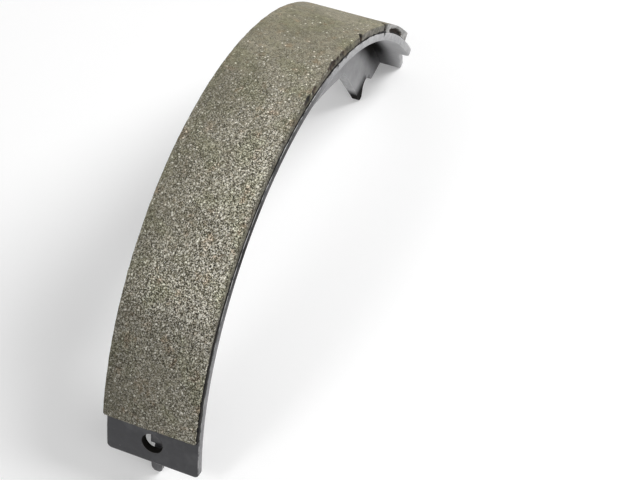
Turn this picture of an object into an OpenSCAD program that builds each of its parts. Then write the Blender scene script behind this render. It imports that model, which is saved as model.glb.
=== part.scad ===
// Bonded drum brake shoe: a rolled steel table carries the friction lining on its outside
// and is welded inside to a flat steel web. The shoe stands on its two ends, lining up.
// X runs from the heel end, with the hole, to the toe end. Y is the drum's axis.

/* [Drum and lining] */
// Radius of the friction face, which is the bore radius of the drum
drum_r = 127; // [112:0.5:140]
// Thickness of the friction lining
lining_t = 3.4; // [2.4:0.1:6]
// How far the lining stays inside each edge of the table
lining_inset = 0.2; // [0.1:0.1:3]
// Angle from the crown to the lining's heel end
lining_heel_angle = 64.7; // [58:0.1:66]
// Angle from the crown to the lining's toe end
lining_toe_angle = 59.5; // [52:0.1:62]
// Thickness of the adhesive film under the lining
film_t = 0.5; // [0.3:0.1:0.8]
// How far the film stays inside the lining's edges
film_inset = 0.3; // [0.1:0.1:1]

/* [Table] */
// Thickness of the table, the curved plate under the lining
table_t = 3.5; // [2.5:0.1:4.5]
// Width of the table
table_w = 41.6; // [37:0.2:60]
// Angle from the crown to the table's heel end
table_heel_angle = 73.8; // [73.4:0.1:75]
// Angle from the crown to the table's shoulders at the toe end
shoulder_angle = 66; // [63:0.1:68]
// Width of the toe tongue where it leaves the shoulders
tongue_root_w = 31.6; // [30:0.2:36]
// Width of the toe tongue at its end
tongue_tip_w = 26.2; // [24:0.2:30]
// Radius of the table's rounded corners
corner_r = 2; // [1:0.1:3]

/* [Heel hole] */
// Diameter of the hole through the table at the heel end
hole_d = 9; // [6:0.1:10]
// Angle from the crown to the hole
hole_angle = 69; // [68.4:0.1:69.2]

/* [Web] */
// Thickness of the web
web_t = 5.2; // [4:0.1:7]
// Depth of the web under the table over the middle
web_depth = 30.2; // [24:0.1:36]
// Distance along X from the table's inside to the web's heel side corner
web_corner_in = 27.8; // [20:0.1:34]
// Distance along X from the drum's axis to the bend where the web starts to fall to the toe
web_bend_x = 4; // [0:0.5:12]
// Angle from the crown to the second bend, half-way to the toe
fall_angle = 37.6; // [34:0.1:42]
// Depth of the web under the table at the second bend
fall_depth = 27.9; // [26:0.1:30]
// Angle from the crown to the web's toe side corner
toe_corner_angle = 51.1; // [49:0.1:52]
// Depth of the web under the table at its toe side corner
toe_corner_depth = 19.1; // [18:0.1:22]
// Radius of the web's heel side corner
web_heel_corner_r = 4; // [1:0.5:8]
// Radius of the web's two shallow bends
web_bend_r = 60; // [20:5:80]
// Radius of the web's toe side corner
web_toe_corner_r = 4; // [1:0.5:6]

/* [Web toe end] */
// Height above the drum's axis of the cut across the toe end
toe_cut_z = 31.4; // [30:0.1:35]
// Length of the step along the cut, from the table's inside to the notch
step_l = 11; // [8:0.1:14]
// Depth of the notch above the cut
notch_depth = 5.4; // [3:0.1:8]
// Length of the notch's roof, from the step to the finger
notch_l = 6.5; // [5:0.1:8]
// How far the step's side leans into the notch
step_lean = 1.4; // [0:0.1:2]
// How far the finger's side leans into the notch
finger_lean = 3.4; // [2:0.1:4]
// Width of the round-ended finger at its tip
finger_w = 2.4; // [1.6:0.1:5]
// How far the finger's tip stands above the toe cut, less where it is negative
finger_rise = -0.6; // [-0.8:0.1:2]
// Width of the flat left on the finger's round tip
finger_flat = 0.6; // [0.5:0.1:1]
// Radius of the notch's corner at the finger
notch_r = 4; // [1:0.1:5]
// Radius of the notch's corner at the step
step_root_r = 1.2; // [0.3:0.1:2]
// Radius of the step's tip
step_tip_r = 0.8; // [0.2:0.1:1]

/* [Web heel end] */
// Distance along X from the table's inside to the pointed nose
nose_in = 33.9; // [30:0.1:37]
// Height above the drum's axis of the point that the nose is rounded from
nose_z = 23.4; // [20:0.1:26]
// Radius of the rounded nose
nose_r = 3; // [2:0.1:4]
// Height above the drum's axis of the heel end's edge
heel_cut_z = 29.3; // [27:0.1:33]
// Distance along X from the nose to the heel end's edge
nose_l = 7.1; // [5:0.1:12]
// Length of the lug along its end, up to the table's inside
lug_l = 6.9; // [5:0.1:12]
// Height above the drum's axis of the lug's end
lug_z = 25.2; // [23:0.1:28]
// Radius of the corner between the nose and the heel end's edge
heel_corner_r = 3; // [1:0.1:5]
// Radius of the corner between the heel end's edge and the lug
lug_root_r = 1.5; // [0.5:0.1:2.5]
// Radius of the lug's tip
lug_tip_r = 0.8; // [0.2:0.1:1]
// Radius of the relief behind the hole
relief_r = 3.6; // [3:0.1:5]
// Angle from the crown to the relief
relief_angle = 71.9; // [70.8:0.1:72]

/* [Welds] */
// Leg of the small fillet welds between the web and the table
weld_leg = 2; // [1:0.1:4]
// Length of each weld along the joint
weld_l = 7; // [4:0.5:14]
// Number of weld places along the joint, on each side of the web
weld_count = 7; // [3:1:9]
// Angle between neighbouring weld places
weld_pitch = 17; // [10:0.5:17]

/* [Hidden] */
$fn = 180;
arc_steps = 10;
// How far the cutting shapes reach past what they cut
clear = 20;
// How far a corner's circle reaches past the edges that it rounds, so that it crosses them
corner_past = 0.02;

film_r = drum_r - lining_t;
table_r = film_r - film_t;
seat_r = table_r - table_t;
lining_w = table_w - 2 * lining_inset;
tongue_angle = acos(toe_cut_z / seat_r);
tongue_l = table_r * sin(tongue_angle - shoulder_angle);
film_edge_angle = film_inset / film_r * 180 / PI;

// How far along X the table's inside is at a height above the drum's axis
function seat_x(z) = sqrt(pow(seat_r, 2) - pow(z, 2));

// A corner of the web at an angle from the crown and a depth under the table
function under_table(angle, depth, radius) =
    [(seat_r - depth) * sin(angle), (seat_r - depth) * cos(angle), radius];

// Corners of the web's outline in the drum's frame, each with the radius that rounds it
far = drum_r + clear;
web_z = seat_r - web_depth;
notch_x = seat_x(toe_cut_z) - step_l;
notch_z = toe_cut_z + notch_depth;
finger_root_x = notch_x - step_lean - notch_l;
finger_x = finger_root_x - finger_lean;
finger_z = toe_cut_z + finger_rise;
finger_r = (finger_w - finger_flat) / 2;
nose_x = seat_x(nose_z) - nose_in;
lug_x = seat_x(lug_z) - lug_l;
nose_corner = [-nose_x, nose_z, nose_r];
crown_corner = [web_corner_in - seat_x(web_z), web_z, web_heel_corner_r];
heel_corner = [-nose_x - nose_l, heel_cut_z, heel_corner_r];
web_corners = [
    [far, toe_cut_z, 0],
    [notch_x, toe_cut_z, step_tip_r],
    [notch_x - step_lean, notch_z, step_root_r],
    [finger_root_x, notch_z, notch_r],
    [finger_x, finger_z, finger_r],
    [finger_x - finger_w, finger_z, finger_r],
    under_table(toe_corner_angle, toe_corner_depth, web_toe_corner_r),
    under_table(fall_angle, fall_depth, web_bend_r),
    [web_bend_x, web_z, web_bend_r],
    crown_corner,
    nose_corner,
    heel_corner,
    [-lug_x, heel_cut_z, lug_root_r],
    [-lug_x, lug_z, lug_tip_r],
    [-far, lug_z, 0],
    [-far, far, 0],
    [far, far, 0]
];

function flat(corner) = [corner[0], corner[1]];
function unit(v) = v / norm(v);

// Half of the angle at a corner between its two neighbours
function half_angle(before, corner, after) =
    acos(unit(flat(before) - flat(corner)) * unit(flat(after) - flat(corner))) / 2;

// Centre of the arc that rounds a corner
function arc_centre(before, corner, after) =
    let (to_before = unit(flat(before) - flat(corner)), to_after = unit(flat(after) - flat(corner)))
    flat(corner) + unit(to_before + to_after) * corner[2] / sin(half_angle(before, corner, after));

// Points of the arc that rounds a corner, or the corner itself where its radius is 0
function rounded(before, corner, after) =
    corner[2] == 0 ? [flat(corner)] :
    let (centre = arc_centre(before, corner, after),
         start = unit(flat(before) - flat(corner)) * corner[2] / tan(half_angle(before, corner, after)),
         from = flat(corner) + start - centre,
         turned = cross(flat(corner) - flat(before), flat(after) - flat(corner)) > 0 ? 1 : -1,
         sweep = turned * (180 - 2 * half_angle(before, corner, after)))
    [for (i = [0 : arc_steps])
        let (a = sweep * i / arc_steps)
        centre + [from[0] * cos(a) - from[1] * sin(a), from[0] * sin(a) + from[1] * cos(a)]];

function outline(corners) =
    let (n = len(corners))
    [for (i = [0 : n - 1])
        each rounded(corners[(i + n - 1) % n], corners[i], corners[(i + 1) % n])];

// The shoe rests on its nose and on the inner edge of the tongue's end
nose_centre = arc_centre(crown_corner, nose_corner, heel_corner);
tongue_edge = [seat_r * sin(tongue_angle), toe_cut_z];
span = tongue_edge - nose_centre;
rest_turn = atan2(span[1], span[0]) + asin(nose_r / norm(span));
rest_z = tongue_edge[1] * cos(rest_turn) - tongue_edge[0] * sin(rest_turn);
heel_end_x = -table_r * sin(table_heel_angle - rest_turn);
toe_end_x = table_r * sin(tongue_angle + rest_turn);

// Turns the drum's frame to the pose at rest, with the origin under the middle of the shoe
module at_rest() {
    translate([-(heel_end_x + toe_end_x) / 2, 0, -rest_z])
        rotate([0, rest_turn, 0])
            children();
}

// Puts a child at an angle from the crown, positive to the heel, with its Z pointing outwards
module around(angle, radius) {
    rotate([0, -angle, 0])
        translate([0, 0, radius])
            children();
}

// Lays a shape drawn in X and Z into the web's plane
module upright() {
    rotate([90, 0, 0])
        children();
}

// A band of even thickness that follows the drum
module band(inner_r, thickness, width, heel_angle, toe_angle) {
    upright()
        rotate([0, 0, 90 - toe_angle])
            rotate_extrude(angle = heel_angle + toe_angle)
                translate([inner_r, -width / 2])
                    square([thickness, width]);
}

// What is cut away to round a corner at the origin of a plate that lies to +X and +Y
module corner_waste(radius) {
    centre = radius - corner_past;
    difference() {
        translate([-clear, -clear])
            square(centre + clear);
        translate([centre, centre])
            circle(radius);
    }
}

// Cuts that go through the table from its outside, drawn flat at an angle from the crown
module through_table(angle) {
    around(angle, seat_r - clear)
        linear_extrude(table_t + 2 * clear)
            children();
}

module shoe_table() {
    color([0.3, 0.3, 0.32])
        difference() {
            band(seat_r, table_t, table_w, table_heel_angle, tongue_angle);
            through_table(hole_angle)
                circle(d = hole_d);
            for (side = [-1, 1]) {
                through_table(table_heel_angle)
                    scale([1, side])
                        translate([0, -table_w / 2])
                            corner_waste(corner_r);
                through_table(-shoulder_angle)
                    scale([1, side])
                        shoulder_waste();
            }
        }
}

// What is cut away beside the tongue, with the rounded corner of the shoulder
module shoulder_waste() {
    polygon([[0, tongue_root_w / 2], [2 * tongue_l, tongue_tip_w - tongue_root_w / 2],
             [2 * tongue_l, table_w], [0, table_w]]);
    translate([0, table_w / 2])
        mirror([1, 0])
            mirror([0, 1])
                corner_waste(corner_r);
}

module shoe_web() {
    color([0.38, 0.38, 0.4])
        difference() {
            intersection() {
                upright()
                    cylinder(r = seat_r, h = web_t, center = true);
                upright()
                    linear_extrude(web_t, center = true)
                        polygon(outline(web_corners));
            }
            around(relief_angle, seat_r)
                upright()
                    cylinder(r = relief_r, h = web_t + clear, center = true);
        }
}

// One fillet weld between the web's side and the inside of the table
module weld() {
    rotate_extrude(angle = weld_l / seat_r * 180 / PI)
        polygon([[seat_r, web_t / 2], [seat_r, web_t / 2 + weld_leg], [seat_r - weld_leg, web_t / 2]]);
}

module web_welds() {
    color([0.32, 0.32, 0.34])
        for (side = [-1, 1], i = [0 : weld_count - 1])
            scale([1, side, 1])
                upright()
                    rotate([0, 0, 90 + (i - (weld_count - 1) / 2) * weld_pitch])
                        weld();
}

module bond_film() {
    color([0.08, 0.08, 0.08])
        band(table_r, film_t, lining_w - 2 * film_inset,
             lining_heel_angle - film_edge_angle, lining_toe_angle - film_edge_angle);
}

module friction_lining() {
    color([0.45, 0.42, 0.36])
        band(film_r, lining_t, lining_w, lining_heel_angle, lining_toe_angle);
}

at_rest() shoe_table();
at_rest() shoe_web();
at_rest() web_welds();
at_rest() bond_film();
at_rest() friction_lining();
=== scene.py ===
"""The looks of a bonded drum brake shoe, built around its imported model. Lengths are in millimetres
until a mesh is made. Angles along the shoe are measured at the drum's axis, from the crown of the
lining, positive to the toe end."""

import math

import bpy
import numpy as np
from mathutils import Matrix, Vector
from mathutils.geometry import delaunay_2d_cdt


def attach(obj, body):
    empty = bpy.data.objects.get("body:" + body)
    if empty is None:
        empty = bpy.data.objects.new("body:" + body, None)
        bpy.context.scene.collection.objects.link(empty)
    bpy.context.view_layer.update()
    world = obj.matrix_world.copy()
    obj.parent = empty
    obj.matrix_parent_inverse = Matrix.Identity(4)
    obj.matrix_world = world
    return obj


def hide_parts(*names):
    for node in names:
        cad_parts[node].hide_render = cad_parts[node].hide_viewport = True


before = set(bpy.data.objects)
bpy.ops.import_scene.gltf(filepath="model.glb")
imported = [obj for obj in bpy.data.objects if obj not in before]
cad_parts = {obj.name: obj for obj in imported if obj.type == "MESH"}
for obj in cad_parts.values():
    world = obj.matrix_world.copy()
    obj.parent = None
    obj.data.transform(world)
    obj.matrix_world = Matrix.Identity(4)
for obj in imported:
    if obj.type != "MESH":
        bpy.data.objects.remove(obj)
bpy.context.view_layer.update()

MM = 0.001

# The shoe's own sizes, as in the part's source, with angles to the heel negative
DRUM_R = 127.0
LINING_T = 3.4
FILM_T = 0.5
TABLE_T = 3.5
TABLE_W = 41.6
LINING_W = 41.2
FILM_R = DRUM_R - LINING_T
TABLE_R = FILM_R - FILM_T
SEAT_R = TABLE_R - TABLE_T
LINING_HEEL = -64.7
LINING_TOE = 59.5
TABLE_HEEL = -73.8
SHOULDER = 66.0
TONGUE_ROOT_W = 31.6
TONGUE_TIP_W = 26.2
CORNER_R = 2.0
HOLE_D = 9.0
HOLE_ANGLE = -69.0
WEB_T = 5.2
WEB_DEPTH = 30.2
WEB_CORNER_IN = 27.8
WEB_BEND_X = 4.0
WEB_BEND_R = 60.0
WEB_CORNER_R = 4.0
FALL_ANGLE, FALL_DEPTH = 37.6, 27.9
TOE_CORNER_ANGLE, TOE_CORNER_DEPTH = 51.1, 19.1
TOE_CUT_Z = 31.4
STEP_L = 11.0
STEP_LEAN = 1.4
STEP_ROOT_R, STEP_TIP_R = 1.2, 0.8
NOTCH_DEPTH = 5.4
NOTCH_L = 6.5
NOTCH_R = 4.0
FINGER_LEAN = 3.4
FINGER_W = 2.4
FINGER_RISE = -0.6
FINGER_R = 0.9
NOSE_IN, NOSE_Z, NOSE_R, NOSE_L = 33.9, 23.4, 3.0, 7.1
HEEL_CUT_Z, HEEL_CORNER_R = 29.3, 3.0
LUG_L, LUG_Z, LUG_ROOT_R, LUG_TIP_R = 6.9, 25.2, 1.5, 0.8
RELIEF_ANGLE, RELIEF_R = -71.9, 3.6
WELD_L = 7.0
WELD_LEG = 2.0
WELD_COUNT = 7
WELD_PITCH = 17.0

# The drum's axis in the row frame, and how far the shoe is turned about it at rest
AXIS_X = -1.325
AXIS_Z = -27.784
TURN = 1.788


# Repeatable noise

def hashed(cells, seed):
    """A number from 0 to 1 for each row of whole numbers."""
    h = np.full(len(cells), seed * 144665 + 1013, np.int64)
    for column, prime in zip(cells.T.astype(np.int64), (374761393, 668265263, 1274126177)):
        h = (h + column * prime) & 0xFFFFFFFF
        h = ((h ^ (h >> 13)) * 1103515245) & 0xFFFFFFFF
    return ((h ^ (h >> 16)) & 0xFFFFFF) / 0xFFFFFF


def smooth_noise(points, size, seed):
    """Smooth noise from -1 to 1 with features about as large as size."""
    points = points / size
    base = np.floor(points)
    part = points - base
    part = part * part * (3 - 2 * part)
    total = np.zeros(len(points))
    for corner in np.ndindex(*(2,) * points.shape[1]):
        corner = np.array(corner)
        weight = np.prod(np.where(corner, part, 1 - part), axis=1)
        total += weight * hashed(base + corner, seed)
    return total * 2 - 1


def layered_noise(points, size, seed):
    """Three layers of noise, from -1 to 1 in all, each half as large and as strong as the last."""
    return sum(smooth_noise(points, size / 2 ** i, seed + i) / 2 ** i for i in range(3)) / 1.75


def pits(points, size, seed, share, radius):
    """Depth from 0 to 1 of round pits, one in some of the cells that are as large as size."""
    points = points / size
    base = np.floor(points)
    depth = np.zeros(len(points))
    for step in np.ndindex(*(3,) * points.shape[1]):
        cell = base + np.array(step) - 1
        centre = cell + np.stack([0.2 + 0.6 * hashed(cell, seed + 1 + i) for i in range(cell.shape[1])], 1)
        distance = np.linalg.norm(points - centre, axis=1) / (radius * (0.6 + 0.6 * hashed(cell, seed + 7)))
        there = hashed(cell, seed) < share
        depth = np.maximum(depth, np.where(there, np.clip(1 - distance ** 2, 0, 1), 0))
    return depth


# Shapes

def bent(points, reference_r):
    """Unrolled points, as arc length at a radius, width and radius, to metres in the row frame."""
    angle = points[:, 0] / reference_r + math.radians(TURN)
    r = points[:, 2]
    return np.stack([AXIS_X + r * np.sin(angle), points[:, 1], AXIS_Z + r * np.cos(angle)], 1) * MM


def arc(angle, r):
    return math.radians(angle) * r


def lattice(us, vs, ws):
    """The surface of a block of cells: its points, and faces that look outwards."""
    shape = (len(us), len(vs), len(ws))
    on = np.zeros(shape, bool)
    on[[0, -1]] = on[:, [0, -1]] = on[:, :, [0, -1]] = True
    index = np.zeros(shape, int)
    index[on] = np.arange(on.sum())
    points = np.stack([g[on] for g in np.meshgrid(us, vs, ws, indexing="ij")], 1)
    faces = []
    for grid, flip in ((index[0], True), (index[-1], False), (index[:, 0], False),
                       (index[:, -1], True), (index[:, :, 0], True), (index[:, :, -1], False)):
        quads = np.stack([grid[:-1, :-1], grid[1:, :-1], grid[1:, 1:], grid[:-1, 1:]], -1).reshape(-1, 4)
        faces.append(quads[:, ::-1] if flip else quads)
    return points, np.concatenate(faces)


def stations(start, end, step, fine=()):
    """Rising numbers from start to end a step apart, closer together around some places."""
    fine_step, fine_reach = 0.2, 1.2
    places = list(np.linspace(start, end, round((end - start) / step) + 1))
    for place in fine:
        places = [p for p in places if abs(p - place) > fine_reach]
        places += list(np.arange(place - fine_reach, place + fine_reach + fine_step / 2, fine_step))
    kept = [start]
    for p in sorted(p for p in places if start < p < end):
        if min(p - kept[-1], end - p) > fine_step * 0.45:
            kept.append(p)
    return np.array(kept + [end])


def edge_stations(start, end, step):
    """Rising numbers from start to end about a step apart, closer together towards both ends."""
    near = np.array([0.12, 0.28, 0.5, 0.8, 1.2, 1.7])
    inner = np.linspace(start + near[-1], end - near[-1], round((end - start) / step))[1:-1]
    return np.concatenate([[start], start + near, inner, (end - near)[::-1], [end]])


def round_edges(points, low, high, radius):
    """Rounds a block's edges and corners. The radius may differ from point to point."""
    radius = np.broadcast_to(np.asarray(radius, float), len(points))[:, None]
    inner = np.clip(points, low + radius, high - radius)
    out = points - inner
    length = np.linalg.norm(out, axis=1, keepdims=True)
    return np.where(length > 1e-9, inner + out * radius / np.maximum(length, 1e-9), points)


def carve(points, centre, radii, toward):
    """Moves the points inside an ellipsoid one way, to its far side. Returns how far each moved."""
    radii, toward = np.array(radii, float), np.array(toward, float)
    toward = toward / np.linalg.norm(toward)
    local, step = (points - np.array(centre)) / radii, toward / radii
    a, b, c = step @ step, local @ step, (local ** 2).sum(1) - 1
    moved = np.where(c < 0, (-b + np.sqrt(np.maximum(b * b - a * c, 0))) / a, 0)
    points += toward * moved[:, None]
    return moved


def rounded_outline(corners, step):
    """A closed outline from corners, each given with its rounding radius, as close points."""
    flat = np.array([c[:2] for c in corners], float)
    trimmed = []
    for i, (corner, radius) in enumerate(zip(flat, (c[2] for c in corners))):
        before, after = flat[i - 1] - corner, flat[(i + 1) % len(flat)] - corner
        before, after = before / np.linalg.norm(before), after / np.linalg.norm(after)
        half = math.acos(np.clip(before @ after, -1, 1)) / 2
        if radius == 0:
            trimmed.append([corner])
            continue
        middle = before + after
        centre = corner + middle / np.linalg.norm(middle) * radius / math.sin(half)
        start = corner + before * radius / math.tan(half) - centre
        turned = corner - flat[i - 1]
        sign = 1 if turned[0] * after[1] - turned[1] * after[0] > 0 else -1
        sweep = sign * (math.pi - 2 * half)
        count = max(4, round(abs(sweep) * radius / step))
        turns = [sweep * k / count for k in range(count + 1)]
        trimmed.append([centre + [start[0] * math.cos(a) - start[1] * math.sin(a),
                                  start[0] * math.sin(a) + start[1] * math.cos(a)] for a in turns])
    outline = []
    for i, points in enumerate(trimmed):
        outline += list(points)
        a, b = points[-1], trimmed[(i + 1) % len(trimmed)][0]
        count = max(1, round(np.linalg.norm(b - a) / step))
        outline += [a + (b - a) * k / count for k in range(1, count)]
    return np.array(outline)


def circle(x, y, radius, step):
    """A round hole's outline, run backwards, so that the plate lies on its left too."""
    count = round(2 * math.pi * radius / step)
    turns = -np.arange(count) * 2 * math.pi / count
    return np.stack([x + radius * np.cos(turns), y + radius * np.sin(turns)], 1)


def inside(points, outline):
    """Whether each point is inside an outline."""
    x, y = points[:, 0:1], points[:, 1:2]
    x0, y0 = outline.T
    x1, y1 = np.roll(outline, -1, axis=0).T
    rise = np.where(y1 == y0, 1e-12, y1 - y0)
    crossed = ((y0 > y) != (y1 > y)) & (x < x0 + (y - y0) / rise * (x1 - x0))
    return crossed.sum(1) % 2 == 1


def filling(loops, step, clear):
    """Points a step apart inside the first loop and outside the others, and clear of all of them."""
    (x0, y0), (x1, y1) = loops[0].min(0), loops[0].max(0)
    rows = []
    for k, y in enumerate(np.arange(y0, y1, step * 0.87)):
        xs = np.arange(x0 + (k % 2) * step / 2, x1, step)
        rows.append(np.stack([xs, np.full(len(xs), y)], 1))
    points = np.concatenate(rows)
    points += np.stack([smooth_noise(points, step * 0.7, seed) for seed in (5, 6)], 1) * step * 0.1
    points = points[inside(points, loops[0])]
    for hole in loops[1:]:
        points = points[~inside(points, hole)]
    border = np.concatenate(loops)
    nearest = [np.linalg.norm(chunk[:, None] - border, axis=2).min(1)
               for chunk in np.array_split(points, max(1, len(points) // 500))]
    return points[np.concatenate(nearest) > clear]


def inward_ways(loops):
    """The direction into the plate at each point of its loops."""
    ways = []
    for loop in loops:
        ahead = np.roll(loop, -1, axis=0) - np.roll(loop, 1, axis=0)
        ways.append(np.stack([-ahead[:, 1], ahead[:, 0]], 1) / np.linalg.norm(ahead, axis=1)[:, None])
    return np.concatenate(ways)


def triangulated(points, following, starts, ends):
    """Triangles that fill a plate's face. Its points are those of the loops and then its filling."""
    edges = [(i, int(ahead)) for i, ahead in enumerate(following)]
    triangles = delaunay_2d_cdt([Vector(p) for p in points], edges, [], 1, 1e-7)[2]
    triangles = np.array([t for t in triangles if len(t) == 3 and max(t) < len(points)])
    middles = points[triangles].mean(1)
    kept = inside(middles, points[:ends[0]])
    for start, end in zip(starts[1:], ends[1:]):
        kept &= ~inside(middles, points[start:end])
    return triangles[kept]


def plate(loops, low, high, bevel, step):
    """A plate with rounded edges. The first loop is its outline and the others its holes.
    Returns the points, the faces and, for each point, how far it is onto the rim, from 0 to 1."""
    border, inward = np.concatenate(loops), inward_ways(loops)
    inner = filling(loops, step, step * 0.55 + bevel)
    count = len(border)
    ends = np.cumsum([len(loop) for loop in loops])
    starts = ends - [len(loop) for loop in loops]
    here, following = np.arange(count), np.arange(count) + 1
    following[ends - 1] = starts

    # Rings down the rim, each with its distance in from the outline and its level
    soft = bevel * (1 - math.sqrt(0.5))
    walls = [(0, w) for w in np.linspace(high - bevel, low + bevel, 4)]
    rings = [(bevel, high), (soft, high - soft)] + walls + [(soft, low + soft), (bevel, low)]
    points = [np.column_stack([border + inward * inset, np.full(count, w)]) for inset, w in rings]
    rim = [np.full(count, 0 if inset == bevel else 1 if inset == 0 else 0.5) for inset, _ in rings]
    faces = []
    for k in range(len(rings) - 1):
        upper, lower = k * count, (k + 1) * count
        faces += np.stack([here + lower, following + lower, following + upper, here + upper], 1).tolist()

    # The two faces
    triangles = triangulated(np.concatenate([border + inward * bevel, inner]), following, starts, ends)
    total = count * len(rings)
    for w, first, flip in ((high, 0, False), (low, count * (len(rings) - 1), True)):
        points.append(np.column_stack([inner, np.full(len(inner), w)]))
        rim.append(np.zeros(len(inner)))
        placed = np.where(triangles < count, triangles + first, triangles - count + total)
        faces += (placed[:, ::-1] if flip else placed).tolist()
        total += len(inner)
    return np.concatenate(points), faces, np.concatenate(rim)


def make_piece(name, points, faces, material, node, slot, **masks):
    """A mesh that stands for a node of the model, with a value for each point in each mask."""
    mesh = bpy.data.meshes.new(name)
    mesh.from_pydata(points.tolist(), [], [list(map(int, f)) for f in faces])
    mesh.validate()
    mesh.polygons.foreach_set("use_smooth", [True] * len(mesh.polygons))
    for mask, values in masks.items():
        layer = mesh.attributes.new(mask, "FLOAT", "POINT")
        layer.data.foreach_set("value", np.clip(values, 0, 1).astype(np.float32))
    mesh.materials.append(material)
    piece = bpy.data.objects.new(name, mesh)
    bpy.context.scene.collection.objects.link(piece)
    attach(piece, "root")
    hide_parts(node)


# Materials

class Shader:
    """A material's nodes, with one call for each kind."""

    def __init__(self, name):
        self.material = bpy.data.materials.new(name)
        self.material.use_nodes = True
        self.tree = self.material.node_tree
        self.surface = self.tree.nodes["Principled BSDF"]
        self.place = self.add("ShaderNodeTexCoord").outputs["Object"]

    def add(self, kind, **settings):
        node = self.tree.nodes.new(kind)
        for key, value in settings.items():
            setattr(node, key, value)
        return node

    def put(self, socket, value):
        if isinstance(value, bpy.types.NodeSocket):
            self.tree.links.new(value, socket)
        elif socket.type == "RGBA" and not isinstance(value, float):
            socket.default_value = (*value, 1)
        else:
            socket.default_value = value

    def noise(self, size, detail=3.0, roughness=0.55, place=None):
        node = self.add("ShaderNodeTexNoise")
        self.put(node.inputs["Vector"], place or self.place)
        self.put(node.inputs["Scale"], 1 / (size * MM))
        self.put(node.inputs["Detail"], detail)
        self.put(node.inputs["Roughness"], roughness)
        return node.outputs["Fac"]

    def cells(self, size, place):
        """Distance to the nearest cell's middle, and a random colour for each cell."""
        node = self.add("ShaderNodeTexVoronoi")
        self.put(node.inputs["Vector"], place)
        self.put(node.inputs["Scale"], 1 / (size * MM))
        return node.outputs["Distance"], node.outputs["Color"]

    def part(self, colour, index):
        node = self.add("ShaderNodeSeparateColor")
        self.put(node.inputs[0], colour)
        return node.outputs[index]

    def warped(self, size, amount):
        """The place, pushed about by noise."""
        noise = self.add("ShaderNodeTexNoise")
        self.put(noise.inputs["Vector"], self.place)
        self.put(noise.inputs["Scale"], 1 / (size * MM))
        push = self.add("ShaderNodeVectorMath", operation="MULTIPLY_ADD")
        self.put(push.inputs[0], noise.outputs["Color"])
        self.put(push.inputs[1], (amount * MM,) * 3)
        self.put(push.inputs[2], self.place)
        return push.outputs["Vector"]

    def grains(self, size, share, seed):
        """Irregular grains in some of the cells as large as size, and a random number for each grain.
        The share of the cells that hold one may be a socket."""
        node = self.add("ShaderNodeVectorMath", operation="ADD")
        self.put(node.inputs[0], self.warped(size * 0.6, size * 0.9))
        self.put(node.inputs[1], (seed, seed, seed))
        distance, colour = self.cells(size, node.outputs["Vector"])
        there = self.fade(self.math("ADD", self.part(colour, 0), share), 0.985, 1.015)
        return self.times(self.fade(distance, 0.46, 0.26), there), self.part(colour, 1)

    def math(self, operation, a, b=0.0):
        node = self.add("ShaderNodeMath", operation=operation)
        self.put(node.inputs[0], a)
        self.put(node.inputs[1], b)
        return node.outputs[0]

    def times(self, a, b):
        return self.math("MULTIPLY", a, b)

    def around(self, value, width, middle):
        """A value from 0 to 1 spread over a width about a middle."""
        return self.math("ADD", self.times(self.math("SUBTRACT", value, 0.5), width), middle)

    def fade(self, value, low, high):
        """0 where the value is at low, 1 where it is at high, and even between."""
        node = self.add("ShaderNodeMapRange", interpolation_type="SMOOTHSTEP")
        self.put(node.inputs["Value"], value)
        self.put(node.inputs["From Min"], low)
        self.put(node.inputs["From Max"], high)
        return node.outputs["Result"]

    def spread(self, value, low, high, to_low, to_high):
        node = self.add("ShaderNodeMapRange")
        for key, number in (("Value", value), ("From Min", low), ("From Max", high),
                            ("To Min", to_low), ("To Max", to_high)):
            self.put(node.inputs[key], number)
        return node.outputs["Result"]

    def between(self, value, low, high):
        """Low where the value is 0 and high where it is 1."""
        return self.spread(value, 0, 1, low, high)

    def mix(self, share, a, b, blend="MIX"):
        node = self.add("ShaderNodeMix", data_type="RGBA", blend_type=blend)
        for index, value in ((0, share), (6, a), (7, b)):
            self.put(node.inputs[index], value)
        return node.outputs[2]

    def shaded(self, colour, value):
        return self.mix(1.0, colour, self.grey(value), "MULTIPLY")

    def grey(self, value):
        """A number as a colour, which may be above 1."""
        node = self.add("ShaderNodeCombineColor")
        for channel in node.inputs:
            self.put(channel, value)
        return node.outputs[0]

    def moved(self, shift):
        node = self.add("ShaderNodeVectorMath", operation="ADD")
        self.put(node.inputs[0], self.place)
        self.put(node.inputs[1], (shift, shift * 2, shift * 3))
        return node.outputs["Vector"]

    def mask(self, name):
        return self.add("ShaderNodeAttribute", attribute_name=name).outputs["Fac"]

    def bump(self, height, distance, strength):
        node = self.add("ShaderNodeBump")
        self.put(node.inputs["Height"], height)
        self.put(node.inputs["Distance"], distance * MM)
        self.put(node.inputs["Strength"], strength)
        return node.outputs["Normal"]

    def finish(self, **values):
        for key, value in values.items():
            self.put(self.surface.inputs[key.replace("_", " ")], value)
        return self.material


# The looks along the shoe: some angles, and the value at each of them

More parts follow.
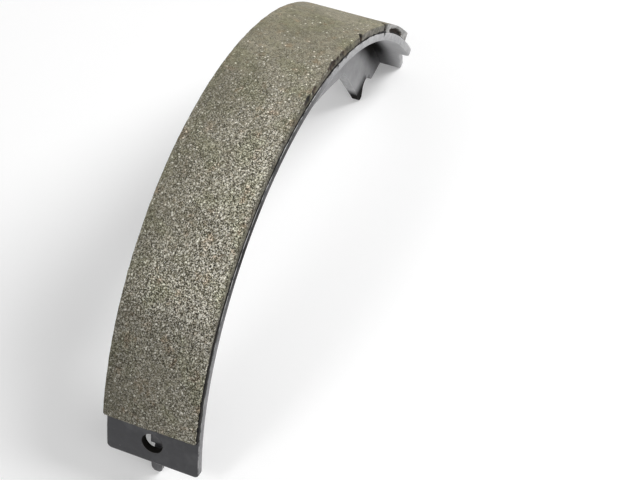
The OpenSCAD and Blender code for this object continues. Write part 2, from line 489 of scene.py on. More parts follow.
UNDERCUT_HEIGHT = (-65, -54, -46, -40, -30, 12, 25), (2.1, 2.0, 1.5, 0.85, 0.55, 0.45, 0.0)
CROWDING = (-64.7, -52, -40, -28, -10, 5, 20, 59.5), (0.55, 0.66, 1.0, 0.82, 0.72, 0.40, 0.13, 0.03)
# Painted light and shade along the lining's face: darker towards the heel end, where less light fell
PAINTED_SHADE_ALONG = ((-64.7, -43, -37, -28, -21, -13, -5, 4, 13, 32, 60),
             (0.66, 0.68, 0.96, 0.82, 0.88, 0.88, 0.84, 0.82, 0.94, 1.03, 1.03))
# Painted shadow on the middle of the lining's near side
NEAR_EDGE_SHADE = (-46, -36, 22, 29), (0, 0.7, 0.7, 0)
# Painted light and shade on the paint: paler towards the toe and on the inner faces, where light fell, and
# darker along the middle of the rims, in shadow
RIM_PALE = (-74, -48, -40, -34, -4, 8, 20, 32, 75), (0.34, 0.30, 0.12, 0.02, 0.02, 0.24, 0.60, 0.66, 0.66)
OUTER_PALE = (-74, 60, 75), (0.0, 0.2, 0.4)
INNER_PALE = (-74, -20, 30, 50, 75), (0.12, 0.2, 0.5, 0.9, 0.85)
# Painted shadow on the rims along the middle, and painted shade in the corner by the web
RIM_SHADOW_ALONG = (-46, -34, -4, 14), (0.0, 0.86, 0.86, 0.0)
CORNER_DARK = (46, 54, 66, 75), (0.0, 1.0, 1.0, 0.55)


def by_angle(s, radius, curve):
    """The value of one of the curves above at an arc length along a radius."""
    return np.interp(np.degrees(s / radius), *curve)


def undercut(s):
    """Height of the black gap under the lining's near edge, which closes away from the heel end."""
    return by_angle(s, DRUM_R, UNDERCUT_HEIGHT)


def corner_shade(angle, distance):
    """How much painted shade darkens the paint in the corner between table and web near the toe."""
    reach, fading = 12.0, 10.0
    share = np.clip((reach - distance) / fading, 0, 1)
    return by_angle(angle, 1, CORNER_DARK) * share * share * (3 - 2 * share)


# The materials' colours, as linear light, and the sizes of what is seen in the lining's face

BINDER_DARK, BINDER_PALE = (0.200, 0.184, 0.128), (0.250, 0.228, 0.166)
NO_TINT, OLIVE_TINT, RUST_TINT = (1.0, 1.0, 1.0), (0.91, 0.93, 0.85), (1.02, 0.90, 0.81)
GRAIN_DARK, GRAIN_PALE = (0.026, 0.023, 0.017), (0.66, 0.625, 0.51)
PIT_DARK, FLECK_PALE = (0.030, 0.027, 0.020), (0.96, 0.93, 0.82)
# The sides' colours: dark, with painted shade
SIDE_SHADE_DARK, SIDE_SHADE_PALE = (0.022, 0.018, 0.013), (0.105, 0.096, 0.074)
DUST_DARK, DUST_PALE = (0.190, 0.188, 0.182), (0.330, 0.325, 0.315)
# Painted shade, near black, in the chips, cracks, hollow and the gap under the near edge
BREAK_SHADE_DARK, BREAK_SHADE_PALE = (0.008, 0.007, 0.006), (0.042, 0.029, 0.021)
CLOUD_SIZE, OLIVE_SIZE, RUST_SIZE, MOTTLE_SIZE = 19, 13, 6.5, 2.6
FLECK_SIZE, PIT_SIZE, FIBRE_SIZE, GRAIN_SIZE = 1.0, 0.85, 0.85, 0.56

# A mask holds numbers from 0 to 1, so the lining's painted light and shade is kept as its share of this one
TONE_TOP = 1.2

# The pale paint colour is painted light, given by the pale mask
PAINT_DARK, PAINT_PALE, PAINT_WORN = (0.036, 0.036, 0.040), (0.450, 0.448, 0.455), (0.48, 0.47, 0.47)
PAINT_SMEAR, PAINT_SPECK, PAINT_STAIN_AND_SHADE = (0.55, 0.54, 0.53), (0.40, 0.39, 0.38), (0.010, 0.009, 0.008)
ADHESIVE_DARK, ADHESIVE_PALE = (0.004, 0.004, 0.004), (0.014, 0.012, 0.010)


def lining_material():
    """Ground friction material: a tan binder packed with bright flecks and dark pits, which thin
    out to the toe. Its sides and breaks are darkened with painted shade."""
    s = Shader("friction_material")
    busy, side = s.mask("busy"), s.mask("side")
    base = s.mix(s.fade(s.noise(CLOUD_SIZE, 3.0), 0.38, 0.62), BINDER_DARK, BINDER_PALE)
    olive = s.fade(s.noise(OLIVE_SIZE, 3.0, place=s.moved(0.3)), 0.48, 0.66)
    rust = s.fade(s.noise(RUST_SIZE, 4.0, 0.65, s.moved(0.7)), 0.55, 0.70)
    tint = s.mix(rust, s.mix(olive, NO_TINT, OLIVE_TINT), RUST_TINT)

    # Salt and pepper grain, weak where the face is plain
    wavy = s.warped(0.6, 0.35)
    grain = s.noise(GRAIN_SIZE, 1.0, 0.5, wavy)
    mottle = s.fade(s.noise(MOTTLE_SIZE, 3.0, 0.6), 0.36, 0.64)
    base = s.shaded(base, s.around(mottle, 0.36, s.between(busy, 1.0, 0.80)))
    sunk = s.times(s.fade(grain, 0.51, 0.34), s.between(busy, 0.20, 1.0))
    base = s.mix(sunk, base, GRAIN_DARK)
    proud = s.times(s.fade(grain, 0.52, 0.68), s.between(busy, 0.06, 0.95))
    base = s.mix(proud, base, GRAIN_PALE)
    pit, _ = s.grains(PIT_SIZE, s.between(busy, 0.06, 0.30), 0.2)
    base = s.mix(s.times(pit, 0.8), base, PIT_DARK)

    # Bright fibres and flecks, and a plain side darkened with painted shade
    ridge = s.math("ABSOLUTE", s.math("SUBTRACT", s.noise(FIBRE_SIZE, 1.0, 0.5, wavy), 0.5))
    some = s.fade(s.noise(0.9, 1.0, place=s.moved(0.4)), 0.48, 0.56)
    fibre = s.times(s.times(s.fade(ridge, 0.058, 0.014), some), s.between(busy, 0.0, 0.95))
    large, glint = s.grains(FLECK_SIZE, s.between(busy, 0.004, 0.42), 0.0)
    fleck = s.math("MAXIMUM", fibre, s.times(large, s.between(glint, 0.35, 1.0)))
    base = s.mix(s.times(side, 0.88), base, s.mix(mottle, SIDE_SHADE_DARK, SIDE_SHADE_PALE))
    fleck = s.times(fleck, s.between(side, 1.0, 0.15))
    base = s.mix(fleck, base, FLECK_PALE)

    # Stains, painted light and shade along the face, dust, and painted shade in the breaks over all of it
    base = s.mix(1.0, base, tint, "MULTIPLY")
    # Painted light and shade along the face, from the tone mask
    base = s.shaded(base, s.times(s.mask("tone"), TONE_TOP))
    base = s.mix(s.mask("grey"), base, s.mix(mottle, DUST_DARK, DUST_PALE))
    # Painted shade in the chips, cracks, hollow and gap, from the broken mask
    base = s.mix(s.mask("broken"), base, s.mix(mottle, BREAK_SHADE_DARK, BREAK_SHADE_PALE))
    height = s.math("ADD", s.times(grain, s.between(busy, 0.4, 1.6)), s.times(mottle, 0.5))
    return s.finish(Base_Color=base, Roughness=s.between(fleck, 0.85, 0.42), Specular_IOR_Level=0.35,
                    Metallic=s.times(fleck, 0.35), Normal=s.bump(height, 0.16, 0.6))


def paint_material(name, seed):
    """Satin stoving paint, dark where it is whole, pale where it is rubbed and where painted light
    falls on it, and dull and dark where it is stained or painted with shade."""
    s = Shader(name)
    place = s.moved(seed)
    on_rim, stain = s.mask("rim"), s.mask("stain")
    # The pale mask's painted light, with a little random tone
    tone = s.around(s.fade(s.noise(14, 4.0, place=place), 0.32, 0.68), 0.10, s.mask("pale"))
    base = s.mix(s.math("MAXIMUM", tone, 0.0), PAINT_DARK, PAINT_PALE)
    streaks = s.noise(2.2, 5.0, 0.7, place)
    base = s.shaded(base, s.around(s.fade(streaks, 0.35, 0.65), s.between(on_rim, 0.10, 0.34), 1.0))
    off_corner = s.times(s.math("ABSOLUTE", s.math("SUBTRACT", on_rim, 0.5)), 2.6)
    corner = s.fade(s.math("SUBTRACT", 1.0, off_corner), 0.1, 0.8)
    rubbed = s.times(corner, s.fade(s.noise(3.2, 4.0, place=place), 0.41, 0.54))
    base = s.mix(s.times(rubbed, 0.8), base, PAINT_WORN)
    smear = s.fade(s.noise(9, 5.0, 0.65, s.moved(seed + 0.9)), 0.60, 0.74)
    base = s.mix(s.times(smear, 0.07), base, PAINT_SMEAR)
    speck, _ = s.grains(0.9, 0.012, seed)
    base = s.mix(s.times(speck, 0.22), base, PAINT_SPECK)
    # Near black for real stains and for painted shade
    base = s.mix(stain, base, PAINT_STAIN_AND_SHADE)
    rough = s.spread(s.noise(6, 3.0, place=place), 0.3, 0.7, 0.40, 0.56)
    rough = s.math("MAXIMUM", rough, s.times(stain, 0.9))
    height = s.math("ADD", s.noise(0.9, 2.0, place=place), s.times(s.times(streaks, on_rim), 2.0))
    return s.finish(Base_Color=base, Roughness=rough, Specular_IOR_Level=s.spread(stain, 0, 0.8, 0.4, 0.04),
                    Normal=s.bump(height, 0.05, 0.5))


def adhesive_material():
    s = Shader("cured_adhesive")
    base = s.mix(s.fade(s.noise(2.5, 3.0), 0.4, 0.7), ADHESIVE_DARK, ADHESIVE_PALE)
    rough = s.spread(s.noise(3.5, 2.0), 0.3, 0.7, 0.62, 0.88)
    return s.finish(Base_Color=base, Roughness=rough, Specular_IOR_Level=0.2,
                    Normal=s.bump(s.noise(0.7, 3.0), 0.15, 0.6))


# The friction lining, unrolled: its ends and half width, and where its near edge changes

LINING_START, LINING_END, LINING_HALF = arc(LINING_HEEL, DRUM_R), arc(LINING_TOE, DRUM_R), LINING_W / 2
WORN_S, HOLLOW_S, CRACK_S = (arc(angle, DRUM_R) for angle in (-47.0, 51.0, 43.4))
ROLL_S, ROLL_END_S = arc(19.5, DRUM_R), arc(29.4, DRUM_R)
LINING_STEP = 0.62
GAP_DEPTH = 1.3
CHIP_COUNT = 46

# Breaks in the near edge: the angle of each, and its radii along, across and down
BREAKS = ((29.3, (1.4, 1.6, 4.4)), (20.4, (1.9, 0.9, 2.0)), (19.2, (1.2, 0.6, 1.3)),
          (17.7, (1.3, 0.7, 1.5)), (15.9, (2.1, 1.4, 2.4)), (14.8, (1.9, 0.9, 2.9)),
          (13.6, (1.2, 0.6, 1.4)), (7.6, (1.6, 0.9, 1.6)), (6.7, (1.2, 0.6, 2.1)),
          (4.6, (1.6, 1.1, 1.9)), (3.6, (1.8, 0.7, 2.4)), (10.4, (0.8, 0.4, 0.9)),
          (0.6, (0.6, 0.4, 0.7)), (-6.0, (1.1, 0.5, 0.8)), (-11.5, (0.7, 0.4, 0.6)),
          (-20.4, (1.3, 0.5, 0.9)), (-27.5, (0.9, 0.5, 0.8)), (-36.0, (1.1, 0.5, 0.7)))


def heel_wear(s, y):
    """1 where the near edge is worn round at the heel end, otherwise 0."""
    return np.clip((WORN_S - s) / 3, 0, 1) * (y < 0)


def wear_edges(points):
    """Rounds the edges a little, and the near one more at the heel and where it is rolled over."""
    s, y, level = points.T.copy()
    along = np.stack([s, y * 0.4], 1)
    wear = 0.30 + 0.20 * smooth_noise(along, 3.1, 11) + 0.12 * smooth_noise(along, 0.9, 12)
    rolled = np.clip((s - ROLL_S) / 3, 0, 1) * (s < ROLL_END_S) * (y < 0)
    wear = np.clip(wear + heel_wear(s, y) * 0.9 + rolled * 1.4, 0.1, 1.65)
    low = np.array([LINING_START, -LINING_HALF, FILM_R - 5])
    high = np.array([LINING_END, LINING_HALF, DRUM_R])
    points = round_edges(points, low, high, wear)
    far_corner = (LINING_START - 0.3, LINING_HALF + 0.3, DRUM_R - LINING_T / 2)
    carve(points, far_corner, (1.2, 1.2, 60), (1, -1, 0))
    ragged = 0.30 * np.abs(smooth_noise(np.stack([y, level * 0.5], 1), 1.9, 14))
    ragged += 0.14 * np.abs(smooth_noise(np.stack([y, level], 1), 0.75, 15))
    points[:, 0] += ragged * np.clip(1 - (s - LINING_START) / 1.6, 0, 1)
    return points


def break_edges(points, s):
    """Chips both edges, and cracks and undercuts the near side. Returns how broken each point is, which is
    where painted shade goes.
    """
    broken = s * 0
    for angle, radii in BREAKS:
        moved = carve(points, (arc(angle, DRUM_R), -LINING_HALF, DRUM_R), radii, (0, 1, -0.8))
        broken = np.maximum(broken, moved / 0.35)
    for i, place in enumerate(np.linspace(LINING_START + 4, LINING_END - 4, CHIP_COUNT)):
        which, large, shift = hashed(np.array([[i, 1], [i, 2], [i, 3]]), 31)
        side, scale = (-1, 1) if which < 0.5 else (1, 0.4)
        size = (0.35 + 0.6 * large ** 2) * scale
        centre, radii = (place + 4 * shift, side * LINING_HALF, DRUM_R), (size * 1.6, size * 0.8, size)
        moved = carve(points, centre, radii, (0, -side, -0.8))
        broken = np.maximum(broken, moved * 0.6)

    # A crack right down the near side, and a hollow beyond it under the edge, which stays as a lip
    moved = carve(points, (CRACK_S, -LINING_HALF, DRUM_R), (2.0, 2.9, 5.0), (0, 1, -0.3))
    broken = np.maximum(broken, moved / 0.4)
    moved = carve(points, (HOLLOW_S, -LINING_HALF, FILM_R + 0.65), (10.5, 1.8, 1.15), (0, 1, 0.1))
    broken = np.maximum(broken, moved / 0.5)

    # The gap along the joint towards the heel
    gap = undercut(points[:, 0])
    along = np.stack([s, s * 0], 1)
    jagged = 1 + 0.16 * smooth_noise(along, 1.4, 17) + 0.12 * smooth_noise(along, 0.6, 18)
    deepest = -LINING_HALF + GAP_DEPTH
    under = (gap > 0.02) & (points[:, 1] < deepest) & (points[:, 2] < FILM_R + gap * jagged)
    points[under, 1] = deepest
    return np.maximum(broken, under * 1.0)


def roughen(points, block):
    """Grain over top and sides, pits in the top, and the near side closed onto the table at the toe."""
    s, y, level = block.T
    rough = 0.07 * layered_noise(block, 1.6, 21) + 0.04 * smooth_noise(block, 9, 25)
    pitted = pits(block[:, :2], 2.3, 41, 0.30, 0.38)
    inner = np.clip((LINING_HALF - np.abs(y)) / 0.8, 0, 1)
    points[:, 2] -= np.where(level == DRUM_R, 0.08 + rough + 0.32 * pitted * inner, 0)
    points[:, 1] -= np.where(np.abs(y) == LINING_HALF, np.sign(y) * (0.1 + 1.5 * rough), 0)
    bottom = level == FILM_R
    points[:, 2] = np.where(bottom, np.maximum(points[:, 2], FILM_R), points[:, 2])
    points[bottom & (s > CRACK_S + 2) & (y < -LINING_HALF + 0.4), 2] = TABLE_R + 0.04


def lining_masks(block, broken):
    """Where the looks change: crowded grain, plain sides darkened with painted shade, painted light and
    shade along the face, grey dust on the near side to the toe.
    """
    s, y, level = block.T
    sides, ends = np.abs(y) == LINING_HALF, (s == LINING_START) | (s == LINING_END)
    below = np.clip((DRUM_R - 0.25 - level) / 0.5, 0, 1)
    # Painted shade on the sides and ends, and a painted shadow on a band by the near edge in the middle
    side = np.maximum(sides * (1 - heel_wear(s, y)), ends) * below
    near_edge_shade = by_angle(s, DRUM_R, NEAR_EDGE_SHADE) * np.clip((-LINING_HALF + 1.3 - y) / 0.9, 0, 1)
    busy = by_angle(s, DRUM_R, CROWDING) * (1 - 0.32 * y / LINING_HALF)
    busy += 0.12 * smooth_noise(block, 8, 51) * (s < arc(10, DRUM_R))
    # Painted light and shade: the face is darker towards the heel end, and over the heel half darker to the
    # far side and lighter to the near side
    falling = 0.008 * np.maximum(y, 0) + 0.005 * np.minimum(y, 0)
    tone = by_angle(s, DRUM_R, PAINTED_SHADE_ALONG) * (1 - falling * np.clip(1 - (s - arc(5, DRUM_R)) / 20, 0, 1))
    tone = np.where(level < DRUM_R - 0.2, np.maximum(tone, 1 / TONE_TOP), tone) / TONE_TOP
    dusty = 0.22 * np.clip((s - ROLL_END_S) / 0.5, 0, 1) + 0.78 * np.clip((s - CRACK_S) / 1.0, 0, 1)
    lip = np.clip((-LINING_HALF + 0.85 - y) / 0.5, 0, 1) * (s > CRACK_S)
    dusted = np.maximum(np.maximum(sides * (y < 0), ends * (s > 0)) * below, lip)
    return dict(side=np.maximum(side, near_edge_shade), busy=busy, tone=tone, broken=broken,
                grey=dusty * dusted * np.clip(1 - broken, 0, 1))


def build_lining():
    fine = (CRACK_S, ROLL_END_S, LINING_START + 1.0, LINING_END - 1.0)
    us = stations(LINING_START, LINING_END, LINING_STEP, fine)
    above = [FILM_R + w for w in (0, 0.25, 0.7, 1.2, 1.7, 2.2, 2.7)]
    ws = np.array(above + [DRUM_R - w for w in (0.3, 0.12, 0)])
    block, faces = lattice(us, edge_stations(-LINING_HALF, LINING_HALF, LINING_STEP), ws)
    points = wear_edges(block)
    broken = break_edges(points, block[:, 0])
    roughen(points, block)
    make_piece("lining_block", bent(points, DRUM_R), faces, lining_material(), "friction_lining", "lining",
               **lining_masks(block, broken))


# The adhesive between lining and table

FILM_STEP = 0.55
BEAD_LOW, BEAD_END_ANGLE = -0.6, 44.5


def build_film():
    half, middle_r = LINING_HALF - 0.15, TABLE_R + FILM_T / 2
    near = np.array([0, 0.35, 0.7, 1.0])
    vs = np.concatenate([-half + near, np.linspace(-half + 2, half - 2, 9), (half - near)[::-1]])
    ws = np.array([TABLE_R, middle_r, FILM_R])
    points, faces = lattice(stations(LINING_START + 0.4, LINING_END - 0.4, FILM_STEP), vs, ws)
    s, y, r = points.T.copy()

    # Squeezed-out beads along the sides, and none at the near side by the toe
    at_side = np.abs(y) >= half - 1e-6
    spot = np.stack([s, np.sign(y) * 30, r], 1)
    bead = np.clip(layered_noise(spot, 4.5, 61) * 1.5 + np.where(y < 0, 0.45, 0.10), BEAD_LOW, 1.0)
    bead = np.where((s > arc(BEAD_END_ANGLE, DRUM_R)) & (y < 0), BEAD_LOW, bead)
    points[:, 1] += np.sign(y) * at_side * (0.24 * bead + 0.08 * (r == middle_r))
    swell = at_side * np.clip(bead, 0, 1)
    points[:, 2] += swell * np.where(r == FILM_R, 0.45, np.where(r == TABLE_R, -0.35, 0))

    # It fills the gap under the lining's near edge
    at_gap = y < -half + 0.75
    points[:, 2] += (at_gap & (r == FILM_R)) * np.maximum(undercut(s) - 0.05, 0)
    points[:, 2] += (at_gap & (r == middle_r)) * undercut(s) * 0.5
    make_piece("adhesive_layer", bent(points, DRUM_R), faces, adhesive_material(), "bond_film", "adhesive")


# The table

OUTLINE_STEP = 0.7
TABLE_BEVEL, TABLE_CELL = 0.5, 1.6

# Stains on the near rim: the angle of each, and its reach along and down
RIM_STAINS = (43.3, 0.9, 1.4), (21.7, 0.7, 0.8), (17.8, 0.7, 0.8)


def build_table():
    heel, shoulder = arc(TABLE_HEEL, TABLE_R), arc(SHOULDER, TABLE_R)
    tip = math.acos(TOE_CUT_Z / SEAT_R) * TABLE_R
    half, root, end = TABLE_W / 2, TONGUE_ROOT_W / 2, TONGUE_TIP_W / 2
    near = [(heel, -half, CORNER_R), (shoulder, -half, CORNER_R), (shoulder, -root, 0.4), (tip, -end, 0.9)]
    corners = near + [(s, -y, radius) for s, y, radius in near[::-1]]
    hole_s = arc(HOLE_ANGLE, TABLE_R)
    loops = [rounded_outline(corners, OUTLINE_STEP), circle(hole_s, 0, HOLE_D / 2, 0.5)]
    points, faces, rim = plate(loops, SEAT_R, TABLE_R, TABLE_BEVEL, TABLE_CELL)
    s, y, r = points.T.copy()
    at_edge = np.abs(y) > half - 0.6
    uneven = 0.05 * layered_noise(points, 5.0, 71) * (rim > 0.4)
    points[:, 1] -= np.sign(y) * np.abs(uneven) * at_edge

    # Painted light: paler paint towards the toe and on the inner face. Painted shade: dark in the corner
    # beside the web
    streak = smooth_noise(np.stack([s - 1.6 * y, 0.3 * y], 1), 9.0, 73)
    corner = corner_shade(s / TABLE_R, np.abs(y) - WEB_T / 2)
    inner_pale = (by_angle(s, TABLE_R, INNER_PALE) + 0.14 * streak * (s > 0)) * (1 - corner)
    outside = r > (SEAT_R + TABLE_R) / 2
    face_pale = np.where(outside, by_angle(s, TABLE_R, OUTER_PALE), inner_pale)
    pale = rim * by_angle(s, TABLE_R, RIM_PALE) + (1 - rim) * face_pale

    # Black stains on the near rim, painted shadow along both rims, and painted shade, black, in the hole
    # and the corner
    stain = s * 0
    for angle, reach, depth in RIM_STAINS:
        distance = np.hypot((s - arc(angle, TABLE_R)) / reach, (r - TABLE_R) / depth)
        stain = np.maximum(stain, np.clip(1.6 - distance, 0, 1) * at_edge * (y < 0))
    rim_shadow = by_angle(s, TABLE_R, RIM_SHADOW_ALONG) * at_edge * (0.7 + 0.3 * streak)
    stain = np.maximum(stain, rim_shadow * (rim > 0.9))
    # Painted shade: the hole's wall is black
    in_hole = np.hypot(s - hole_s, y) < HOLE_D / 2 + 0.2
    stain = np.maximum(stain, np.where(in_hole, 1.0, 0.96 * corner * corner * (r < SEAT_R + 0.4)))
    make_piece("rolled_table", bent(points, TABLE_R), faces, paint_material("table_paint", 0.1),
               "shoe_table", "table_paint", rim=rim, pale=pale, stain=stain)


# The web

WEB_BEVEL, WEB_CELL = 0.3, 1.8
FINGER_FROM_X = 80.0


def seat_x(z):
    """How far along X the table's inside is at a height above the drum's axis."""
    return math.sqrt(SEAT_R ** 2 - z ** 2)


def under_table(angle, depth, radius):
    """A corner with its rounding radius, at an angle in degrees and a depth under the table."""
    r, angle = SEAT_R - depth, math.radians(angle)
    return r * math.sin(angle), r * math.cos(angle), radius


def on_seat(angle):
    """A sharp corner on the table's inside, at an angle in radians."""
    return SEAT_R * math.sin(angle), SEAT_R * math.cos(angle), 0


def web_outline(step):
    """The web's outline in the drum's frame, X to the toe and Z up."""
    crown_z = SEAT_R - WEB_DEPTH
    nose_x = seat_x(NOSE_Z) - NOSE_IN
    lug_x = seat_x(LUG_Z) - LUG_L
    step_x = seat_x(TOE_CUT_Z) - STEP_L
    notch_z, finger_z = TOE_CUT_Z + NOTCH_DEPTH, TOE_CUT_Z + FINGER_RISE
    root_x = step_x - STEP_LEAN - NOTCH_L
    finger_x = root_x - FINGER_LEAN
    lower = [(seat_x(TOE_CUT_Z), TOE_CUT_Z, 0), (step_x, TOE_CUT_Z, STEP_TIP_R),
             (step_x - STEP_LEAN, notch_z, STEP_ROOT_R), (root_x, notch_z, NOTCH_R),
             (finger_x, finger_z, FINGER_R), (finger_x - FINGER_W, finger_z, FINGER_R),
             under_table(TOE_CORNER_ANGLE, TOE_CORNER_DEPTH, WEB_CORNER_R),
             under_table(FALL_ANGLE, FALL_DEPTH, WEB_BEND_R), (WEB_BEND_X, crown_z, WEB_BEND_R),
             (WEB_CORNER_IN - seat_x(crown_z), crown_z, WEB_CORNER_R), (-nose_x, NOSE_Z, NOSE_R),
             (-nose_x - NOSE_L, HEEL_CUT_Z, HEEL_CORNER_R), (-lug_x, HEEL_CUT_Z, LUG_ROOT_R),
             (-lug_x, LUG_Z, LUG_TIP_R), (-seat_x(LUG_Z), LUG_Z, 0)]

    # Back along the table, round the relief behind the hole
    toe, lug, relief = math.acos(TOE_CUT_Z / SEAT_R), -math.acos(LUG_Z / SEAT_R), math.radians(RELIEF_ANGLE)
    bite = 2 * math.asin(RELIEF_R / 2 / SEAT_R)
    centre_x, centre_z, _ = on_seat(relief)
    from_turn, to_turn = (math.atan2(z - centre_z, x - centre_x)
                          for x, z, _ in (on_seat(relief - bite), on_seat(relief + bite)))
    upper = [on_seat(a) for a in np.linspace(lug, relief - bite, 10)[1:]]
    upper += [(centre_x + RELIEF_R * math.cos(a), centre_z + RELIEF_R * math.sin(a), 0)
              for a in np.linspace(from_turn, to_turn, 26)[1:]]
    upper += [on_seat(a) for a in np.linspace(relief + bite, toe, 330)[1:-1]]
    return rounded_outline((lower + upper)[::-1], step)


def build_web():
    points, faces, rim = plate([web_outline(OUTLINE_STEP)], -WEB_T / 2, WEB_T / 2, WEB_BEVEL, WEB_CELL)
    x, z, w = points.T.copy()

    # The finger thins towards its end, and the lug's end is rounded
    finger_end = np.clip((TOE_CUT_Z + 20.0 - z) / 16.0, 0, 1) * ((x > FINGER_FROM_X) & (x < 99.5))
    w = w * (1 - np.where(w < 0, 0.42, 0.08) * finger_end)
    lug_end = np.clip((LUG_Z + 2.2 - z) / 2.2, 0, 1) * (x < -seat_x(LUG_Z) + LUG_L + 1)
    w = w * np.sqrt(1 - 0.75 * lug_end ** 2)
    turn = math.radians(TURN)
    placed = np.stack([AXIS_X + x * math.cos(turn) + z * math.sin(turn), -w,
                       AXIS_Z - x * math.sin(turn) + z * math.cos(turn)], 1) * MM

    # Painted light: paler paint towards the toe and on its rims there. Dark at the finger's end, and
    # painted shade in the corner under the table
    tip = np.clip((z - TOE_CUT_Z - 4.5) / 7.0, 0, 1)
    on_finger = (x > FINGER_FROM_X) & (x < 99)
    corner = corner_shade(np.arctan2(x, z), SEAT_R - np.hypot(x, z))
    # Painted light: paler towards the toe
    pale = np.interp(x, (-110, -40, 40, 95), (0.2, 0.2, 0.4, 0.62))
    pale = pale * (1 - corner) * np.where(on_finger, tip, 1) + 0.22 * rim * (x > 60) * tip * (1 - corner)
    stain = np.maximum(0.96 * corner * corner, 0.9 * (1 - tip) * on_finger)
    make_piece("pressed_web", placed, faces, paint_material("web_paint", 0.4), "shoe_web", "web_paint",
               rim=rim, pale=pale, stain=stain)


# The welds

def weld(start, side, across=9, sections=25):
    """One short fillet with a rippled, swollen face and tapered ends: its points and its faces."""
    turns = np.linspace(0, math.pi / 2, across - 1)
    points, faces = [], []
    for k in range(sections):
        share = k / (sections - 1)
        leg = WELD_LEG * max(0.05, 1 - abs(2 * share - 1) ** 4) * (0.92 + 0.08 * math.sin(share * 44))
        swell = leg * (0.72 + 0.18 * np.sin(2 * turns))
        out, down = swell * np.cos(turns) ** 0.9, swell * np.sin(turns) ** 0.9
        points.append(np.stack([np.full(across, start + WELD_L * share),
                                np.append(WEB_T / 2 + out, WEB_T / 2 - 0.05) * side,
                                np.append(SEAT_R - down, SEAT_R + 0.05)], 1))
    for k in range(sections - 1):
        for j in range(across):
            a, b = k * across + j, k * across + (j + 1) % across
            faces.append([a, b, b + across, a + across])
    last = (sections - 1) * across
    faces += [list(range(across))[::-1], list(range(last, last + across))]
    return np.concatenate(points), faces if side > 0 else [face[::-1] for face in faces]


def build_welds():
    points, faces, count = [], [], 0
    for side in (-1, 1):
        for i in range(WELD_COUNT):
            start = -arc((i - (WELD_COUNT - 1) / 2) * WELD_PITCH, SEAT_R) - WELD_L
            bead, bead_faces = weld(start, side)
            points.append(bead)
            faces += [[corner + count for corner in face] for face in bead_faces]
            count += len(bead)
    points = np.concatenate(points)
    flat = np.zeros(count)
    make_piece("weld_beads", bent(points, SEAT_R), faces, paint_material("weld_paint", 0.7),
               "web_welds", "weld_paint", rim=flat, pale=flat + 0.2, stain=flat)


# The floor, the light and the camera

FLOOR_REACH, FLOOR_GREY, FLOOR_LIFT = 4.0, 0.88, 0.15
WORLD_LEVEL, WORLD_SEEN = 0.40, 1.0
LAMP_AWAY, LAMP_AIM_Z = 1.7, 0.05

# Each lamp's name, the way to it, its level and its size
LAMPS = (("key", (0.50, -0.55, 0.70), 0.75, 0.9), ("fill", (-0.62, 0.34, 0.71), 0.16, 0.5),
         ("low", (-0.30, -0.90, 0.25), 0.20, 0.9))

CAMERA_PLACE, CAMERA_TURN, CAMERA_LENS = (-0.35611, -0.23564, 0.60840), (34.778, 5.078, -66.446), 94.4


def seen_directly(tree):
    """1 for a ray from the camera, off a glossy surface or through a clear one, otherwise 0."""
    path = tree.nodes.new("ShaderNodeLightPath")
    total = path.outputs["Is Camera Ray"]
    for name in ("Is Glossy Ray", "Is Transmission Ray"):
        larger = tree.nodes.new("ShaderNodeMath")
        larger.operation = "MAXIMUM"
        tree.links.new(total, larger.inputs[0])
        tree.links.new(path.outputs[name], larger.inputs[1])
        total = larger.outputs[0]
    return total


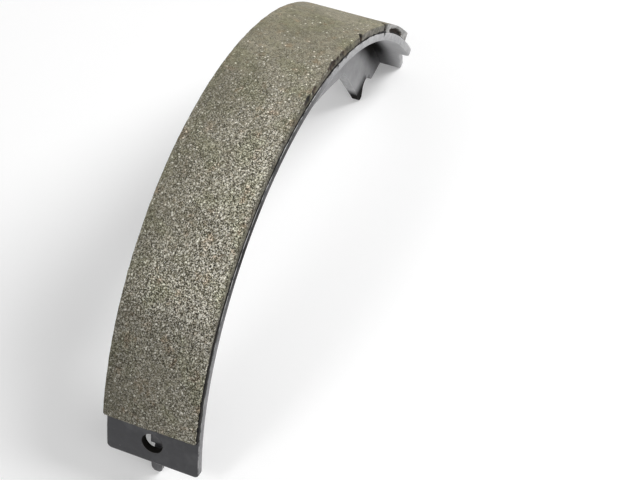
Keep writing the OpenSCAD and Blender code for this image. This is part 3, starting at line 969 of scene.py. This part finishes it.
def build_stage():
    """A pale floor that keeps the shadow, lifted a little towards white where it is seen."""
    mesh = bpy.data.meshes.new("floor")
    corners = [(x * FLOOR_REACH, y * FLOOR_REACH, 0) for x, y in ((-1, -1), (1, -1), (1, 1), (-1, 1))]
    mesh.from_pydata(corners, [], [(0, 1, 2, 3)])
    floor = bpy.data.objects.new("floor", mesh)
    bpy.context.scene.collection.objects.link(floor)
    material = bpy.data.materials.new("pale_floor")
    material.use_nodes = True
    tree = material.node_tree
    tree.nodes.clear()
    diffuse, glow, both, out, lift = (tree.nodes.new("ShaderNode" + kind) for kind in (
        "BsdfDiffuse", "Emission", "AddShader", "OutputMaterial", "Math"))
    diffuse.inputs["Color"].default_value = (FLOOR_GREY, FLOOR_GREY, FLOOR_GREY, 1)
    glow.inputs["Color"].default_value = (1, 1, 1, 1)
    lift.operation = "MULTIPLY"
    lift.inputs[1].default_value = FLOOR_LIFT
    for socket, to in ((seen_directly(tree), lift.inputs[0]), (lift.outputs[0], glow.inputs["Strength"]),
                       (diffuse.outputs[0], both.inputs[0]), (glow.outputs[0], both.inputs[1]),
                       (both.outputs[0], out.inputs["Surface"])):
        tree.links.new(socket, to)
    mesh.materials.append(material)


def build_light():
    world = bpy.data.worlds.new("studio")
    bpy.context.scene.world = world
    world.use_nodes = True
    tree = world.node_tree
    background = tree.nodes["Background"]
    background.inputs["Color"].default_value = (1, 1, 1, 1)
    strength = tree.nodes.new("ShaderNodeMapRange")
    tree.links.new(seen_directly(tree), strength.inputs["Value"])
    strength.inputs["To Min"].default_value = WORLD_LEVEL
    strength.inputs["To Max"].default_value = WORLD_SEEN
    tree.links.new(strength.outputs["Result"], background.inputs["Strength"])
    for name, toward, level, size in LAMPS:
        light = bpy.data.lights.new(name, "AREA")
        light.shape = "DISK"
        light.size = size
        light.energy = level * math.pi ** 2 * LAMP_AWAY ** 2
        lamp = bpy.data.objects.new(name, light)
        direction = Vector(toward).normalized()
        lamp.location = direction * LAMP_AWAY + Vector((0, 0, LAMP_AIM_Z))
        lamp.rotation_euler = direction.to_track_quat("Z", "Y").to_euler()
        bpy.context.scene.collection.objects.link(lamp)


def build_camera():
    data = bpy.data.cameras.new("camera")
    data.sensor_width = 36
    data.lens = CAMERA_LENS
    camera = bpy.data.objects.new("camera", data)
    camera.location = CAMERA_PLACE
    camera.rotation_euler = [math.radians(a) for a in CAMERA_TURN]
    bpy.context.scene.collection.objects.link(camera)
    bpy.context.scene.camera = camera


build_camera()
build_stage()
build_light()
build_lining()
build_film()
build_table()
build_web()
build_welds()
bpy.context.scene.view_settings.view_transform = "Standard"
